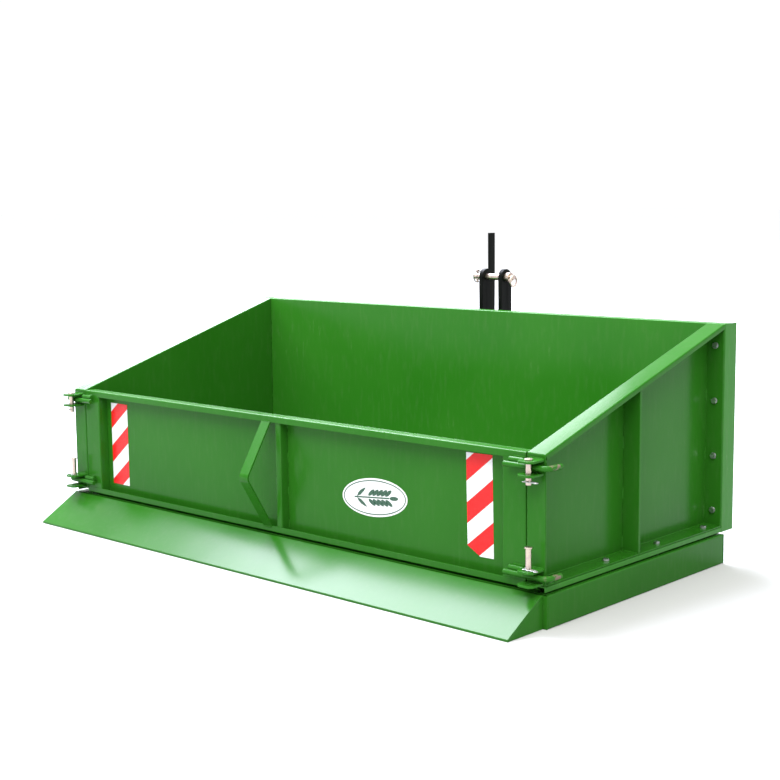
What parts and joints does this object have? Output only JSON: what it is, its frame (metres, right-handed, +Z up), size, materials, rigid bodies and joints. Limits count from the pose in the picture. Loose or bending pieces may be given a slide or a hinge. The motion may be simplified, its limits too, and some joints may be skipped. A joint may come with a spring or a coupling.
{
  "type": "tipping transport box",
  "caption": "Wide sheet-steel tipping box for a tractor's three-point linkage, with a loading lip, a top-hung tailgate on latch pins and a pivoting headstock.",
  "frame": {"origin": "middle of the footprint, on the ground the box stands on", "axes": "+X to the right of a person who looks at the tailgate, +Y towards the tractor, +Z up"},
  "size_m": [1.64, 1.0284, 0.765],
  "materials": {
    "green_paint": "glossy",
    "black_paint": "satin",
    "plated_steel": "zinc plated",
    "spring_wire": "bright wire",
    "printed_film": "printed film",
    "stop_rubber": "matt"
  },
  "bodies": {
    "tub": {"floor_pan": "green_paint", "base_side_left": "green_paint", "base_side_right": "green_paint", "base_front": "green_paint", "base_rear": "green_paint", "floor_beams": "green_paint", "loading_lip": "green_paint", "lip_gusset_left": "green_paint", "lip_gusset_right": "green_paint", "side_wall_left": "green_paint", "side_wall_right": "green_paint", "side_rib_left": "green_paint", "side_rib_right": "green_paint", "rear_wall": "green_paint", "rear_channel_left": "green_paint", "rear_channel_right": "green_paint", "pivot_lug_left": "green_paint", "pivot_lug_right": "green_paint", "latch_striker": "green_paint", "mast_stop": "green_paint", "stop_pads": "stop_rubber", "wall_bolts": "plated_steel", "wall_nuts": "plated_steel", "bracket_upper_left": "green_paint", "bracket_upper_right": "green_paint", "bracket_lower_left": "green_paint", "bracket_lower_right": "green_paint", "hinge_pin_left": "plated_steel", "hinge_pin_right": "plated_steel", "hinge_pin_clips": "spring_wire"},
    "tailgate": {"gate_panel": "green_paint", "gate_top_rail": "green_paint", "gate_bottom_rail": "green_paint", "gate_post_left": "green_paint", "gate_post_right": "green_paint", "gate_rib": "green_paint", "gate_handle": "green_paint", "trunnion_upper_left": "green_paint", "trunnion_upper_right": "green_paint", "trunnion_lower_left": "green_paint", "trunnion_lower_right": "green_paint", "marker_left": "printed_film", "marker_right": "printed_film", "gate_badge": "printed_film"},
    "lock_left": {"lock_pin_left": "plated_steel", "lock_clip_left": "spring_wire"},
    "lock_right": {"lock_pin_right": "plated_steel", "lock_clip_right": "spring_wire"},
    "headstock": {"cross_bar": "black_paint", "lower_link_pin_left": "plated_steel", "lower_link_pin_right": "plated_steel", "mast_left": "black_paint", "mast_right": "black_paint", "mast_brace_left": "black_paint", "mast_brace_right": "black_paint", "top_link_pin": "plated_steel", "lever_bolt": "plated_steel", "latch_spring": "spring_wire"},
    "lever": {"release_lever": "black_paint"}
  },
  "joints": [
    {"name": "tailgate_swing", "type": "hinge", "parent": "tub", "child": "tailgate", "pos_m": [0, -0.40825, 0.329], "axis": [-1, 0, 0], "range_deg": [0, 90]},
    {"name": "lock_lift_left", "type": "slide", "parent": "tub", "child": "lock_left", "axis": [0, 0, 1], "range_m": [0, 0.06]},
    {"name": "lock_lift_right", "type": "slide", "parent": "tub", "child": "lock_right", "axis": [0, 0, 1], "range_m": [0, 0.06]},
    {"name": "headstock_tip", "type": "hinge", "parent": "tub", "child": "headstock", "pos_m": [0, 0.46825, 0.185], "axis": [-1, 0, 0], "range_deg": [0, 60]},
    {"name": "lever_pull", "type": "hinge", "parent": "headstock", "child": "lever", "pos_m": [0, 0.44825, 0.358], "axis": [-1, 0, 0], "range_deg": [-3, 20], "stiffness_Nm_per_rad": 2, "springref_deg": -20.05}
  ]
}
